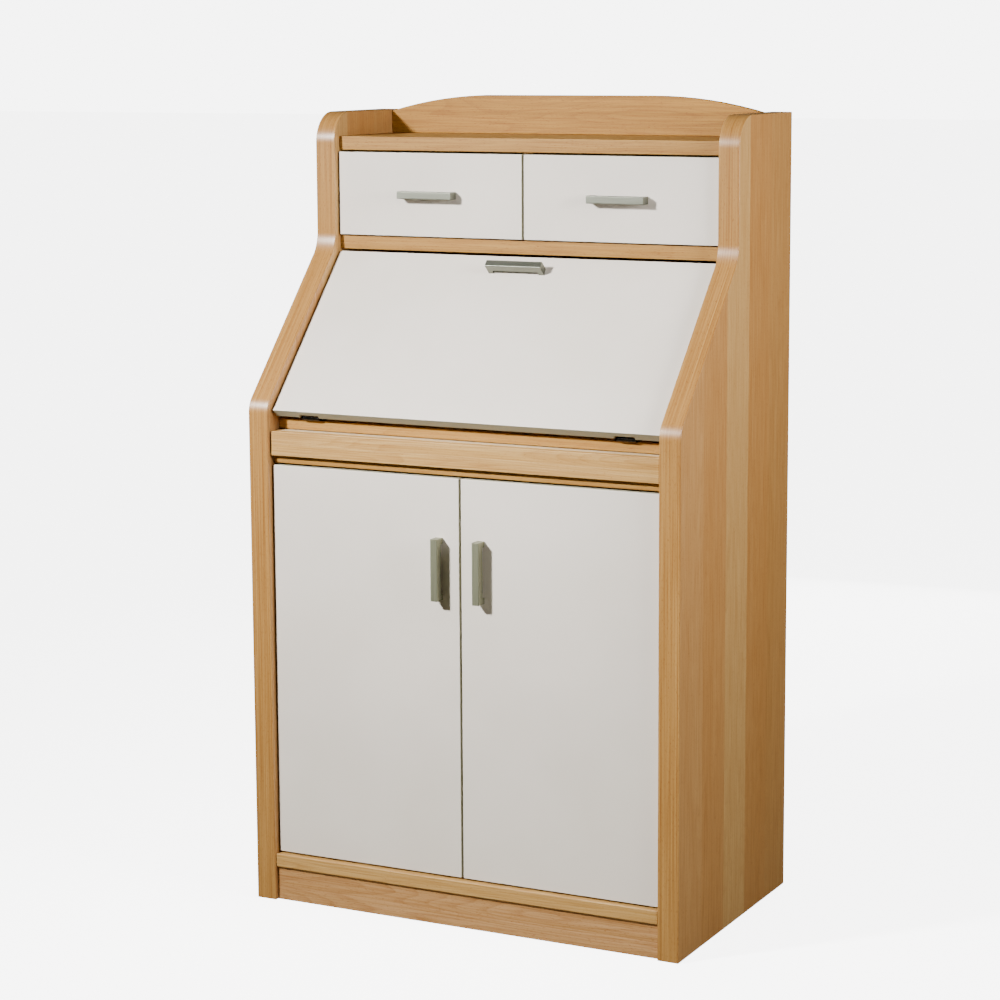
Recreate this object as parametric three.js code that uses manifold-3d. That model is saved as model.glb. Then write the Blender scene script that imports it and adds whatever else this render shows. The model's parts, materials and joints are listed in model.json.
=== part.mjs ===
// Secretary desk: a two-door cabinet with a pull-out support, a sloping drop flap, two small
// drawers and a low gallery with an arched back.
// Millimetres. X points right, Y points back, Z points up, and the front faces -Y.
// The origin is on the floor, at the middle of the desk's whole width and depth, door handles included.

import * as THREE from 'three';
import { mergeVertices } from 'three/addons/utils/BufferGeometryUtils.js';
import Module from 'manifold-3d';

const wasm = await Module();
wasm.setup();

// ---------------------------------------------------------------- overall sizes
const width = 740;
const depth = 440;
const upperDepth = 219.3; // depth of the upright part above the slope

// ---------------------------------------------------------------- boards
const sideThickness = 34.5;
const shelfThickness = 22;
const boardThickness = 16; // fronts, writing board, gallery back, divider
const backThickness = 3.5;
const drawerSideThickness = 12;
const drawerBottomThickness = 4;
const seat = 0.25; // joint between two fastened pieces

// ---------------------------------------------------------------- heights, from the floor up
const plinthHeight = 55;
const cabinetOpening = 636.8;
const supportSlot = 30.5; // slot of the pull-out, between cabinet top and writing board
const slopeFootRise = 24.3; // writing surface up to where the side panels start to slope
const slopeAngle = THREE.MathUtils.degToRad(47);
const middleShelfDrop = 6.8; // top of the slope down to the middle shelf's underside
const drawerOpening = 138.5;
const galleryHeight = 39;

// ---------------------------------------------------------------- edge rounding of the side panels
const footCornerRadius = 35;
const headCornerRadius = 50;
const topCornerRadius = 50;

// ---------------------------------------------------------------- setbacks from the panels' front edges
const bottomShelfSetback = 2;
const plinthSetback = 7;
const doorSetback = 10.4;
const cabinetTopSetback = 16;
const supportSetback = 6.5;
const writingBoardSetback = 34;
const upperShelfSetback = 15.8;
const drawerSetback = 9.9;
const backInset = 10; // shelves end this far in front of the panels' back edges

// ---------------------------------------------------------------- gaps round the moving fronts
const frontSideGap = 3;
const pairGap = 3.8; // between two doors or two drawer fronts
const doorEndGap = 3;
const drawerTopGap = 3;
const drawerBottomGap = 1.8;
const flapTopGap = 2.9;
const supportSideGap = 2.5;
const supportTopGap = 1.3; // top of the pull-out to the underside of the open flap
const slideClearance = 0.5;

// ---------------------------------------------------------------- gallery back
const archFlatHalf = 140;
const archRadius = 720;
const archPeakRise = 24.5; // above the side panels' top edges
const archSteps = 8;

// ---------------------------------------------------------------- bar handles
const handleLength = 97;
const handleWidth = 12;
const handleProjection = 19.5;
const handleEdgeRadius = 1.2;
const handleFoot = 9; // length of the foot at each end
const fingerGroove = { height: 6.5, depth: 4 }; // along both sides, between the feet
const doorHandleInset = 34; // free edge of a door to the middle of its handle
const doorHandleRaise = 173.5; // middle of a door up to the middle of its handle
const flapHandleDrop = 29.6; // top edge of the flap down to the middle of its handle

// ---------------------------------------------------------------- flap hinges
const barrelRadius = 3.8;
const barrelClearance = 0.4;
const hingeWidth = 32;
const hingeOut = 6; // axis in front of the writing board's front edge
const flapTail = 3.2; // flap's lower end beyond the axis
const hingeInset = 64.5; // inner face of a side panel to the middle of a hinge
const leafLength = 26;
const leafThickness = 1.4;
const pinRadius = 1.5;
const pinClearance = 0.3;
const knuckleGap = 0.4;
const notch = { depth: 6, beside: 0.6, above: 3.4 }; // in the flap's lower edge, round a barrel
const knuckleCount = 3;
const stopWidth = 12;
const stopFootGap = 110; // hinge axis to the lower end of a stop, up the slope
const stopHeadGap = 50; // upper end of a stop to the flap's top edge

// ---------------------------------------------------------------- cabinet fittings
const doorAxisInset = 13; // inner face of a side panel to a door's turning axis
const cupRadius = 17.5;
const cupDepth = 11.5;
const cupClearance = 0.3;
const cupEdge = 5; // door edge to the edge of a cup
const cupEndDistance = 100; // door end to the middle of a cup
const cupFlange = { length: 60, width: 16, thickness: 1.2 };
const hingeArm = { plate: 44, plateThickness: 3, width: 20, height: 12, front: 6, length: 56 };
const shelfPin = { radius: 2.5, length: 18, bore: 9, inset: 50 };
const shelfLevel = 0.48; // share of the cabinet opening below the adjustable shelf
const shelfSideGap = 1;
const shelfFrontGap = 20; // back of the doors to the adjustable shelf
const supportBoardBackGap = 12;
const supportLip = 9; // thickness of the pull-out's lip in front of the cabinet top
const supportLipLap = 9.3; // how far the lip hangs below the cabinet top's surface
const battenWidth = 30;

// ---------------------------------------------------------------- drawers
const drawerBoxBelow = 55; // below the middle of the front
const drawerBoxAbove = 48;
const drawerBoxSideGap = 3.5;
const drawerBackGap = 20;
const runner = { height: 16, engage: 6.5, frontGap: 3, backGap: 6 };
const grooveDepth = 7;
const bottomGroove = { raise: 8, depth: 5, clearance: 0.3 };

// ---------------------------------------------------------------- levels and planes that follow
const frontY = -depth / 2;
const backY = depth / 2;
const shelfBackY = backY - backInset;
const innerX = width / 2 - sideThickness;
const upperFrontY = backY - upperDepth;

const bottomShelfTop = plinthHeight + shelfThickness;
const cabinetTopUnder = bottomShelfTop + cabinetOpening;
const cabinetTop = cabinetTopUnder + shelfThickness;
const writingUnder = cabinetTop + supportSlot;
const writingTop = writingUnder + boardThickness;
const slopeFootZ = writingTop + slopeFootRise;
const slopeHeadZ = slopeFootZ + (upperFrontY - frontY) * Math.tan(slopeAngle);
const middleShelfUnder = slopeHeadZ - middleShelfDrop;
const middleShelfTop = middleShelfUnder + shelfThickness;
const topShelfUnder = middleShelfTop + drawerOpening;
const topShelfTop = topShelfUnder + shelfThickness;
const sideHeight = topShelfTop + galleryHeight;

const doorFrontY = frontY + doorSetback;
const doorBackY = doorFrontY + boardThickness;
const upperShelfFrontY = upperFrontY + upperShelfSetback;
const drawerFrontY = upperFrontY + drawerSetback;
const writingFrontY = frontY + writingBoardSetback;
const handleOverhang = seat + handleProjection - doorSetback; // door handles past the side panels

const hingeAxisLift = barrelRadius + barrelClearance;
const hingeAxisY = writingFrontY - hingeOut;
const hingeAxisZ = writingTop + hingeAxisLift;
const flapOuterN = hingeAxisLift + boardThickness;
const flapTopZ = middleShelfUnder - flapTopGap;
const flapTopS = (flapTopZ - hingeAxisZ - flapOuterN * Math.cos(slopeAngle)) / Math.sin(slopeAngle);

// ---------------------------------------------------------------- materials
const beech = new THREE.MeshStandardMaterial({ color: 0xc79d6b, roughness: 0.5 });
const darkBeech = new THREE.MeshStandardMaterial({ color: 0xa87a4e, roughness: 0.55 });
const lacquer = new THREE.MeshStandardMaterial({ color: 0xd8d4cf, roughness: 0.45 });
const hardboard = new THREE.MeshStandardMaterial({ color: 0xb99468, roughness: 0.75 });
const drawerWood = new THREE.MeshStandardMaterial({ color: 0xd9c39c, roughness: 0.6 });
const nickel = new THREE.MeshStandardMaterial({ color: 0x9a9a86, roughness: 0.35, metalness: 1 });
const blackSteel = new THREE.MeshStandardMaterial({ color: 0x1c1b1a, roughness: 0.35, metalness: 0.8 });
const steel = new THREE.MeshStandardMaterial({ color: 0xb4b6b8, roughness: 0.3, metalness: 1 });

// ---------------------------------------------------------------- shape helpers
// A box between two opposite corners.
function boxBetween(low, high) {
  const size = high.map((value, axis) => value - low[axis]);
  const middle = high.map((value, axis) => (value + low[axis]) / 2);
  return new THREE.BoxGeometry(...size).translate(...middle);
}

// An outline drawn in (Y, Z), pushed along X from startX to endX.
function extrudeAlongX(shape, startX, endX, curveSegments = 8) {
  const options = { depth: endX - startX, bevelEnabled: false, curveSegments };
  const geometry = new THREE.ExtrudeGeometry(shape, options);
  const axes = new THREE.Matrix4().makeBasis(
    new THREE.Vector3(0, 1, 0),
    new THREE.Vector3(0, 0, 1),
    new THREE.Vector3(1, 0, 0),
  );
  return geometry.applyMatrix4(axes).translate(startX, 0, 0);
}

// A cylinder along X, from startX to endX, round the point (y, z).
function rodAlongX(radius, startX, endX, y, z, segments = 20) {
  const rod = new THREE.CylinderGeometry(radius, radius, endX - startX, segments);
  return rod.rotateZ(Math.PI / 2).translate((startX + endX) / 2, y, z);
}

// A cylinder along Y, from startY to endY, round the point (x, z).
function rodAlongY(radius, startY, endY, x, z, segments = 28) {
  const rod = new THREE.CylinderGeometry(radius, radius, endY - startY, segments);
  return rod.translate(x, (startY + endY) / 2, z);
}

function solidOf(geometry) {
  const bare = geometry.clone();
  bare.deleteAttribute('normal');
  bare.deleteAttribute('uv');
  const merged = mergeVertices(bare, 1e-4);
  const mesh = new wasm.Mesh({
    numProp: 3,
    vertProperties: new Float32Array(merged.attributes.position.array),
    triVerts: new Uint32Array(merged.index.array),
  });
  return new wasm.Manifold(mesh);
}

function geometryOf(solid) {
  const mesh = solid.getMesh();
  const geometry = new THREE.BufferGeometry();
  geometry.setAttribute('position', new THREE.BufferAttribute(mesh.vertProperties, 3));
  geometry.setIndex(new THREE.BufferAttribute(mesh.triVerts, 1));
  geometry.computeVertexNormals();
  return geometry;
}

// Joins the added geometries to the first one, then cuts the removed ones out of it.
function carve(geometry, { added = [], removed = [] }) {
  const joined = added.reduce((solid, extra) => solid.add(solidOf(extra)), solidOf(geometry));
  return geometryOf(removed.reduce((solid, tool) => solid.subtract(solidOf(tool)), joined));
}

function piece(name, geometry, material) {
  const mesh = new THREE.Mesh(geometry, material.clone());
  mesh.name = name;
  return mesh;
}

function groupAt(position, pieces) {
  const group = new THREE.Group();
  group.position.set(...position);
  group.add(...pieces);
  return group;
}

// A board between the side panels, from one (y, z) corner to the other.
function crossBoard(lowY, lowZ, highY, highZ) {
  const halfWidth = innerX - seat;
  return boxBetween([-halfWidth, lowY, lowZ], [halfWidth, highY, highZ]);
}

// ---------------------------------------------------------------- side panels
// The outline steps back over the writing flap, with its three corners rounded.
function sideOutline() {
  const corners = [
    { y: frontY, z: slopeFootZ, radius: footCornerRadius },
    { y: upperFrontY, z: slopeHeadZ, radius: headCornerRadius },
    { y: upperFrontY, z: sideHeight, radius: topCornerRadius },
  ];
  const shape = new THREE.Shape();
  shape.moveTo(backY, 0);
  shape.lineTo(backY, sideHeight);
  const path = [{ y: backY, z: sideHeight }, ...corners.toReversed(), { y: frontY, z: 0 }];
  for (let i = 1; i < path.length - 1; i += 1) {
    roundCorner(shape, path[i - 1], path[i], path[i + 1]);
  }
  shape.lineTo(frontY, 0);
  shape.closePath();
  return shape;
}

// Runs a line up to a rounded corner and an arc round it. The points are sampled on the arc.
function roundCorner(shape, before, corner, after, steps = 10) {
  const at = new THREE.Vector2(corner.y, corner.z);
  const incoming = new THREE.Vector2(before.y, before.z).sub(at).normalize();
  const outgoing = new THREE.Vector2(after.y, after.z).sub(at).normalize();
  const halfAngle = Math.acos(incoming.dot(outgoing)) / 2;
  const middle = incoming.clone().add(outgoing).normalize();
  const centre = at.clone().addScaledVector(middle, corner.radius / Math.sin(halfAngle));
  const reach = corner.radius / Math.tan(halfAngle);
  const start = at.clone().addScaledVector(incoming, reach).sub(centre);
  const end = at.clone().addScaledVector(outgoing, reach).sub(centre);
  const turn = Math.atan2(start.cross(end), start.dot(end));
  for (let i = 0; i <= steps; i += 1) {
    const point = start.clone().rotateAround(new THREE.Vector2(), (turn * i) / steps).add(centre);
    shape.lineTo(point.x, point.y);
  }
}

// Where the adjustable shelf's pins enter the panels.
function shelfPinPlaces() {
  const z = bottomShelfTop + cabinetOpening * shelfLevel - shelfPin.radius - seat;
  const shelfFrontY = doorBackY + shelfFrontGap;
  const rows = [shelfFrontY + shelfPin.inset, shelfBackY - shelfPin.inset];
  return [-1, 1].flatMap((side) => rows.map((y) => ({ side, y, z })));
}

function sidePanel(side) {
  const outerX = (side * width) / 2;
  const startX = Math.min(side * innerX, outerX);
  const geometry = extrudeAlongX(sideOutline(), startX, startX + sideThickness);
  const bores = shelfPinPlaces()
    .filter((place) => place.side === side)
    .map((place) => {
      const ends = [side * (innerX - seat), side * (innerX + shelfPin.bore + seat)].sort((a, b) => a - b);
      return rodAlongX(shelfPin.radius + seat, ends[0], ends[1], place.y, place.z, 16);
    });
  const name = side < 0 ? 'left_side_panel' : 'right_side_panel';
  return piece(name, carve(geometry, { removed: bores }), beech);
}

// ---------------------------------------------------------------- carcass boards
function archOutline() {
  const halfWidth = innerX - seat;
  const footZ = topShelfTop + seat;
  const peakZ = sideHeight + archPeakRise;
  const shape = new THREE.Shape();
  shape.moveTo(-halfWidth, footZ);
  shape.lineTo(halfWidth, footZ);
  const reach = halfWidth - archFlatHalf;
  for (let i = -archSteps; i <= archSteps; i += 1) {
    const share = Math.abs(i) / archSteps;
    const drop = archRadius - Math.sqrt(archRadius ** 2 - (reach * share) ** 2);
    const x = -Math.sign(i) * (archFlatHalf + reach * share);
    if (i === 0) {
      shape.lineTo(archFlatHalf, peakZ);
      shape.lineTo(-archFlatHalf, peakZ);
    } else {
      shape.lineTo(x, peakZ - drop);
    }
  }
  shape.closePath();
  return shape;
}

function galleryBack() {
  const options = { depth: boardThickness, bevelEnabled: false };
  const geometry = new THREE.ExtrudeGeometry(archOutline(), options);
  geometry.rotateX(Math.PI / 2).translate(0, shelfBackY, 0);
  return piece('gallery_back', geometry, beech);
}

function carcassBoards() {
  const bottomFrontY = frontY + bottomShelfSetback;
  const cabinetTopFrontY = frontY + cabinetTopSetback;
  const dividerFrontY = drawerFrontY + boardThickness + seat + slideClearance;
  const halfDivider = boardThickness / 2;
  const dividerLow = [-halfDivider, dividerFrontY, middleShelfTop + seat];
  const dividerHigh = [halfDivider, shelfBackY, topShelfUnder - seat];
  return [
    piece('bottom_shelf', crossBoard(bottomFrontY, plinthHeight, shelfBackY, bottomShelfTop), beech),
    piece('cabinet_top_board', crossBoard(cabinetTopFrontY, cabinetTopUnder, shelfBackY, cabinetTop), beech),
    piece('writing_board', crossBoard(writingFrontY, writingUnder, shelfBackY, writingTop), beech),
    piece('middle_shelf', crossBoard(upperShelfFrontY, middleShelfUnder, shelfBackY, middleShelfTop), beech),
    piece('top_shelf', crossBoard(upperShelfFrontY, topShelfUnder, shelfBackY, topShelfTop), beech),
    piece('drawer_divider', boxBetween(dividerLow, dividerHigh), beech),
    piece('plinth', plinthGeometry(), darkBeech),
    ...backPanels(),
  ];
}

function plinthGeometry() {
  const startY = frontY + plinthSetback;
  return crossBoard(startY, 0, startY + boardThickness, plinthHeight - seat);
}

function backPanels() {
  const startY = shelfBackY + seat;
  const endY = startY + backThickness;
  const seam = writingUnder + boardThickness / 2;
  return [
    piece('lower_back_panel', crossBoard(startY, plinthHeight, endY, seam - seat), hardboard),
    piece('upper_back_panel', crossBoard(startY, seam, endY, topShelfTop), hardboard),
  ];
}

// ---------------------------------------------------------------- adjustable shelf
function adjustableShelf() {
  const halfWidth = innerX - shelfSideGap;
  const lowZ = bottomShelfTop + cabinetOpening * shelfLevel;
  const low = [-halfWidth, doorBackY + shelfFrontGap, lowZ];
  const high = [halfWidth, shelfBackY - shelfSideGap, lowZ + boardThickness];
  const pins = shelfPinPlaces().map(({ side, y, z }) => {
    const ends = [side * (innerX + shelfPin.bore), side * (innerX + shelfPin.bore - shelfPin.length)];
    ends.sort((a, b) => a - b);
    const row = y < 0 ? 'front' : 'back';
    const name = `shelf_pin_${side < 0 ? 'left' : 'right'}_${row}`;
    return piece(name, rodAlongX(shelfPin.radius, ends[0], ends[1], y, z, 16), steel);
  });
  return [piece('adjustable_shelf', boxBetween(low, high), beech), ...pins];
}

// ---------------------------------------------------------------- bar handle
// Drawn with its length along X, its feet on the plane Y = 0 and its face towards -Y.
function barHandle() {
  const half = handleWidth / 2;
  const corner = handleEdgeRadius;
  const shape = new THREE.Shape();
  shape.moveTo(0, -half);
  shape.lineTo(0, half);
  shape.lineTo(-handleProjection + corner, half);
  shape.absarc(-handleProjection + corner, half - corner, corner, Math.PI / 2, Math.PI, false);
  shape.absarc(-handleProjection + corner, -half + corner, corner, Math.PI, Math.PI * 1.5, false);
  shape.closePath();
  const bar = extrudeAlongX(shape, -handleLength / 2, handleLength / 2, 3);
  const reach = handleLength / 2 - handleFoot;
  const grooves = [-1, 1].map((way) => {
    const ends = [way * (half - fingerGroove.depth), way * (half + 1)].sort((a, b) => a - b);
    return boxBetween([-reach, -fingerGroove.height, ends[0]], [reach, 1, ends[1]]);
  });
  return carve(bar, { removed: grooves });
}

// ---------------------------------------------------------------- doors
// A door's own origin is on its turning axis, at the height of the door's bottom edge.
function door(side) {
  const label = side < 0 ? 'left' : 'right';
  const axisX = innerX - doorAxisInset;
  const hingeEdge = innerX - frontSideGap - axisX;
  const freeEdge = pairGap / 2 - axisX;
  const height = cabinetOpening - 2 * doorEndGap;
  const cupX = hingeEdge - cupEdge - cupRadius;
  const cupHeights = [cupEndDistance, height - cupEndDistance];
  const bores = cupHeights.map((z) => {
    const start = boardThickness - cupDepth - cupClearance;
    return rodAlongY(cupRadius + cupClearance, start, boardThickness + 1, side * cupX, z);
  });
  const ends = [side * hingeEdge, side * freeEdge].sort((a, b) => a - b);
  const slab = boxBetween([ends[0], 0, 0], [ends[1], boardThickness, height]);
  const panel = piece(`${label}_door`, carve(slab, { removed: bores }), lacquer);

  const handle = piece(`${label}_door_handle`, barHandle().rotateY(Math.PI / 2), nickel);
  handle.position.set(side * (freeEdge + doorHandleInset), -seat, height / 2 + doorHandleRaise);

  const cups = cupHeights.map((z, index) => hingeCup(`${label}_door_cup_${index + 1}`, side * cupX, z));
  const origin = [side * axisX, doorFrontY, bottomShelfTop + doorEndGap];
  return groupAt(origin, [panel, handle, ...cups]);
}

// A concealed hinge's cup, set into the door's back, with the flange that its screws go through.
function hingeCup(name, x, z) {
  const startY = boardThickness - cupDepth;
  const endY = boardThickness + seat + cupFlange.thickness;
  const bowl = rodAlongY(cupRadius, startY, endY, x, z);
  const low = [x - cupFlange.width / 2, boardThickness + seat, z - cupFlange.length / 2];
  const high = [x + cupFlange.width / 2, endY, z + cupFlange.length / 2];
  const hollow = rodAlongY(cupRadius - 1.5, startY + 1.5, endY + 1, x, z);
  return piece(name, carve(bowl, { added: [boxBetween(low, high)], removed: [hollow] }), steel);
}

// A concealed hinge's arm and mounting plate on the side panel, behind the closed door.
function hingeArms() {
  const height = cabinetOpening - 2 * doorEndGap;
  const doorFoot = bottomShelfTop + doorEndGap;
  const places = [-1, 1].flatMap((side) => [
    { side, z: doorFoot + cupEndDistance, index: 1 },
    { side, z: doorFoot + height - cupEndDistance, index: 2 },
  ]);
  return places.map(({ side, z, index }) => {
    const startY = doorBackY + hingeArm.front;
    const plateX = innerX - seat;
    const armX = plateX - hingeArm.plateThickness;
    const plate = boxBetween(
      [armX, startY, z - hingeArm.plate / 2],
      [plateX, startY + hingeArm.plate, z + hingeArm.plate / 2],
    );
    const arm = boxBetween(
      [armX - hingeArm.height, startY, z - hingeArm.width / 2],
      [armX + seat, startY + hingeArm.length, z + hingeArm.width / 2],
    );
    const geometry = carve(plate, { added: [arm] });
    const placed = piece(`${side < 0 ? 'left' : 'right'}_door_arm_${index}`, geometry, steel);
    placed.rotation.z = side < 0 ? Math.PI : 0;
    placed.position.y = side < 0 ? 2 * startY + hingeArm.length : 0;
    return placed;
  });
}

// ---------------------------------------------------------------- pull-out flap support
// A board that slides out under the open flap, with a rebated rail across its front.
function flapSupport() {
  const half = innerX - supportSideGap;
  const railFrontY = frontY + supportSetback;
  const railBackY = railFrontY + boardThickness;
  const topZ = writingUnder - supportTopGap;
  const lipZ = cabinetTop - supportLipLap;
  const shape = new THREE.Shape();
  shape.moveTo(railFrontY, lipZ);
  shape.lineTo(railFrontY + supportLip, lipZ);
  shape.lineTo(railFrontY + supportLip, cabinetTop + slideClearance);
  shape.lineTo(railBackY, cabinetTop + slideClearance);
  shape.lineTo(railBackY, topZ);
  shape.lineTo(railFrontY, topZ);
  shape.closePath();
  const rail = extrudeAlongX(shape, -half, half);
  const boardLow = [-half, railBackY + seat, topZ - boardThickness];
  const boardHigh = [half, shelfBackY - supportBoardBackGap, topZ];
  return [
    piece('support_rail', rail, beech),
    piece('support_board', boxBetween(boardLow, boardHigh), drawerWood),
  ];
}

// Battens on the cabinet top that the pull-out board slides on.
function supportBattens() {
  const startY = frontY + supportSetback + boardThickness + 2;
  const topZ = writingUnder - supportTopGap - boardThickness - slideClearance;
  return [-1, 1].map((side) => {
    const ends = [side * (innerX - seat), side * (innerX - battenWidth)].sort((a, b) => a - b);
    const low = [ends[0], startY, cabinetTop + seat];
    const high = [ends[1], shelfBackY - seat, topZ];
    const name = side < 0 ? 'left_support_batten' : 'right_support_batten';
    return piece(name, boxBetween(low, high), drawerWood);
  });
}

// ---------------------------------------------------------------- drop flap and its hinges
// The flap's own frame has its origin on the hinge axis. Y runs up the slope and Z out of it.
function knuckleSpan(index) {
  const pitch = hingeWidth / knuckleCount;
  const startX = -hingeWidth / 2 + pitch * index;
  return [startX + knuckleGap / 2, startX + pitch - knuckleGap / 2];
}

// One leaf of a butt hinge: a plate on the plane Z = plateZ, joined to its own knuckles.
function hingeLeaf(knuckles, plateLow, plateHigh) {
  const webReach = barrelRadius + knuckleGap;
  const plate = boxBetween([-hingeWidth / 2, webReach, plateLow], [hingeWidth / 2, leafLength, plateHigh]);
  const added = knuckles.flatMap((index) => {
    const [startX, endX] = knuckleSpan(index);
    const web = boxBetween([startX, 0, plateLow], [endX, webReach + 1, plateHigh]);
    return [rodAlongX(barrelRadius, startX, endX, 0, 0), web];
  });
  const bore = rodAlongX(pinRadius + pinClearance, -hingeWidth, hingeWidth, 0, 0, 16);
  return carve(plate, { added, removed: [bore] });
}

function flapHinges() {
  const hingeX = innerX - hingeInset;
  const places = [{ label: 'left', x: -hingeX }, { label: 'right', x: hingeX }];
  const plateLow = -hingeAxisLift + seat;
  const fixed = places.flatMap(({ label, x }) => {
    const leafShape = hingeLeaf([0, 2], plateLow, plateLow + leafThickness);
    const leaf = piece(`${label}_flap_hinge_leaf`, leafShape, blackSteel);
    const pinShape = rodAlongX(pinRadius, -hingeWidth / 2, hingeWidth / 2, 0, 0, 12);
    const pin = piece(`${label}_flap_hinge_pin`, pinShape, blackSteel);
    leaf.position.x = x;
    pin.position.x = x;
    return [leaf, pin];
  });
  const plateHigh = hingeAxisLift - seat;
  const moving = places.map(({ label, x }) => {
    const leafShape = hingeLeaf([1], plateHigh - leafThickness, plateHigh);
    const leaf = piece(`${label}_flap_leaf`, leafShape, blackSteel);
    leaf.position.x = x;
    return leaf;
  });
  return { fixed, moving };
}

function dropFlap(movingLeaves) {
  const half = innerX - frontSideGap;
  const slab = boxBetween([-half, -flapTail, hingeAxisLift], [half, flapTopS, flapOuterN]);
  const notches = movingLeaves.map((leaf) => {
    const notchHalf = hingeWidth / 2 + notch.beside;
    const low = [leaf.position.x - notchHalf, -flapTail - 1, hingeAxisLift - 1];
    const high = [leaf.position.x + notchHalf, notch.above, hingeAxisLift + notch.depth];
    return boxBetween(low, high);
  });
  const board = carve(slab, { removed: notches });
  const handle = piece('flap_handle', barHandle().rotateX(-Math.PI / 2), nickel);
  handle.position.set(0, flapTopS - flapHandleDrop, flapOuterN + seat);
  const pieces = [piece('flap', board, lacquer), handle, ...movingLeaves];
  const group = groupAt([0, hingeAxisY, hingeAxisZ], pieces);
  group.rotation.x = slopeAngle;
  return group;
}

// Strips on the side panels that the closed flap leans on.
function flapStops() {
  const stops = [-1, 1].map((side) => {
    const ends = [side * (innerX - seat), side * (innerX - seat - stopWidth)].sort((a, b) => a - b);
    const low = [ends[0], stopFootGap, hingeAxisLift - seat - stopWidth];
    const high = [ends[1], flapTopS - stopHeadGap, hingeAxisLift - seat];
    return piece(side < 0 ? 'left_flap_stop' : 'right_flap_stop', boxBetween(low, high), beech);
  });
  const group = groupAt([0, hingeAxisY, hingeAxisZ], stops);
  group.rotation.x = slopeAngle;
  return group;
}

// ---------------------------------------------------------------- drawers
// A drawer's own origin is on its front face, in the middle of the front.
const drawerFrontWidth = innerX - frontSideGap - pairGap / 2;
const drawerFrontHeight = drawerOpening - drawerTopGap - drawerBottomGap;
const drawerMiddleX = pairGap / 2 + drawerFrontWidth / 2;
const drawerMiddleZ = middleShelfTop + drawerBottomGap + drawerFrontHeight / 2;
const drawerBoxInner = boardThickness / 2 + drawerBoxSideGap - drawerMiddleX;
const drawerBoxOuter = innerX - drawerBoxSideGap - drawerMiddleX;
const drawerBoxEndY = shelfBackY - drawerBackGap - drawerFrontY;

// One side of a drawer box, with a runner groove outside and a groove for the bottom inside.
function drawerSide(lowX, highX, outward) {
  const startY = boardThickness + seat;
  const board = boxBetween([lowX, startY, -drawerBoxBelow], [highX, drawerBoxEndY, drawerBoxAbove]);
  const outerX = outward > 0 ? highX : lowX;
  const innerFaceX = outward > 0 ? lowX : highX;
  const grooveHalf = runner.height / 2 + slideClearance;
  const runnerEnds = [outerX - outward * grooveDepth, outerX + outward].sort((a, b) => a - b);
  const runnerGroove = boxBetween(
    [runnerEnds[0], startY - 1, -grooveHalf],
    [runnerEnds[1], drawerBoxEndY + 1, grooveHalf],
  );
  const bottomEnds = [innerFaceX + outward * bottomGroove.depth, innerFaceX - outward].sort((a, b) => a - b);
  const bottomLow = -drawerBoxBelow + bottomGroove.raise - bottomGroove.clearance;
  const bottomHigh = bottomLow + drawerBottomThickness + 2 * bottomGroove.clearance;
  const groove = boxBetween(
    [bottomEnds[0], startY - 1, bottomLow],
    [bottomEnds[1], drawerBoxEndY + 1, bottomHigh],
  );
  return carve(board, { removed: [runnerGroove, groove] });
}

function drawer(side) {
  const label = side < 0 ? 'left' : 'right';
  const halfFront = drawerFrontWidth / 2;
  const halfHeight = drawerFrontHeight / 2;
  const front = boxBetween([-halfFront, 0, -halfHeight], [halfFront, boardThickness, halfHeight]);
  const [lowX, highX] = [side * drawerBoxInner, side * drawerBoxOuter].sort((a, b) => a - b);
  const innerLowX = lowX + drawerSideThickness;
  const innerHighX = highX - drawerSideThickness;
  const bottomZ = -drawerBoxBelow + bottomGroove.raise;
  const tuck = bottomGroove.depth - bottomGroove.clearance;
  const bottomLow = [innerLowX - tuck, boardThickness + seat, bottomZ];
  const bottomHigh = [innerHighX + tuck, drawerBoxEndY, bottomZ + drawerBottomThickness];
  const backLow = [innerLowX + seat, drawerBoxEndY - drawerSideThickness, bottomHigh[2] + seat];
  const backHigh = [innerHighX - seat, drawerBoxEndY, drawerBoxAbove];
  const handle = piece(`${label}_drawer_handle`, barHandle(), nickel);
  handle.position.y = -seat;
  const pieces = [
    piece(`${label}_drawer_front`, front, lacquer),
    piece(`${label}_drawer_left_side`, drawerSide(lowX, innerLowX, -1), drawerWood),
    piece(`${label}_drawer_right_side`, drawerSide(innerHighX, highX, 1), drawerWood),
    piece(`${label}_drawer_back`, boxBetween(backLow, backHigh), drawerWood),
    piece(`${label}_drawer_bottom`, boxBetween(bottomLow, bottomHigh), hardboard),
    handle,
  ];
  return groupAt([side * drawerMiddleX, drawerFrontY, drawerMiddleZ], pieces);
}

// Runners on the side panels and on both faces of the divider, inside the drawers' grooves.
function drawerRunners() {
  const startY = drawerFrontY + boardThickness + runner.frontGap;
  const endY = shelfBackY - runner.backGap;
  const lowZ = drawerMiddleZ - runner.height / 2;
  const faces = [
    { name: 'left_outer_runner', x: -innerX, into: 1 },
    { name: 'left_inner_runner', x: -boardThickness / 2, into: -1 },
    { name: 'right_inner_runner', x: boardThickness / 2, into: 1 },
    { name: 'right_outer_runner', x: innerX, into: -1 },
  ];
  return faces.map(({ name, x, into }) => {
    const ends = [x + into * seat, x + into * (drawerBoxSideGap + runner.engage)].sort((a, b) => a - b);
    const geometry = boxBetween([ends[0], startY, lowZ], [ends[1], endY, lowZ + runner.height]);
    return piece(name, geometry, drawerWood);
  });
}

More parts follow.
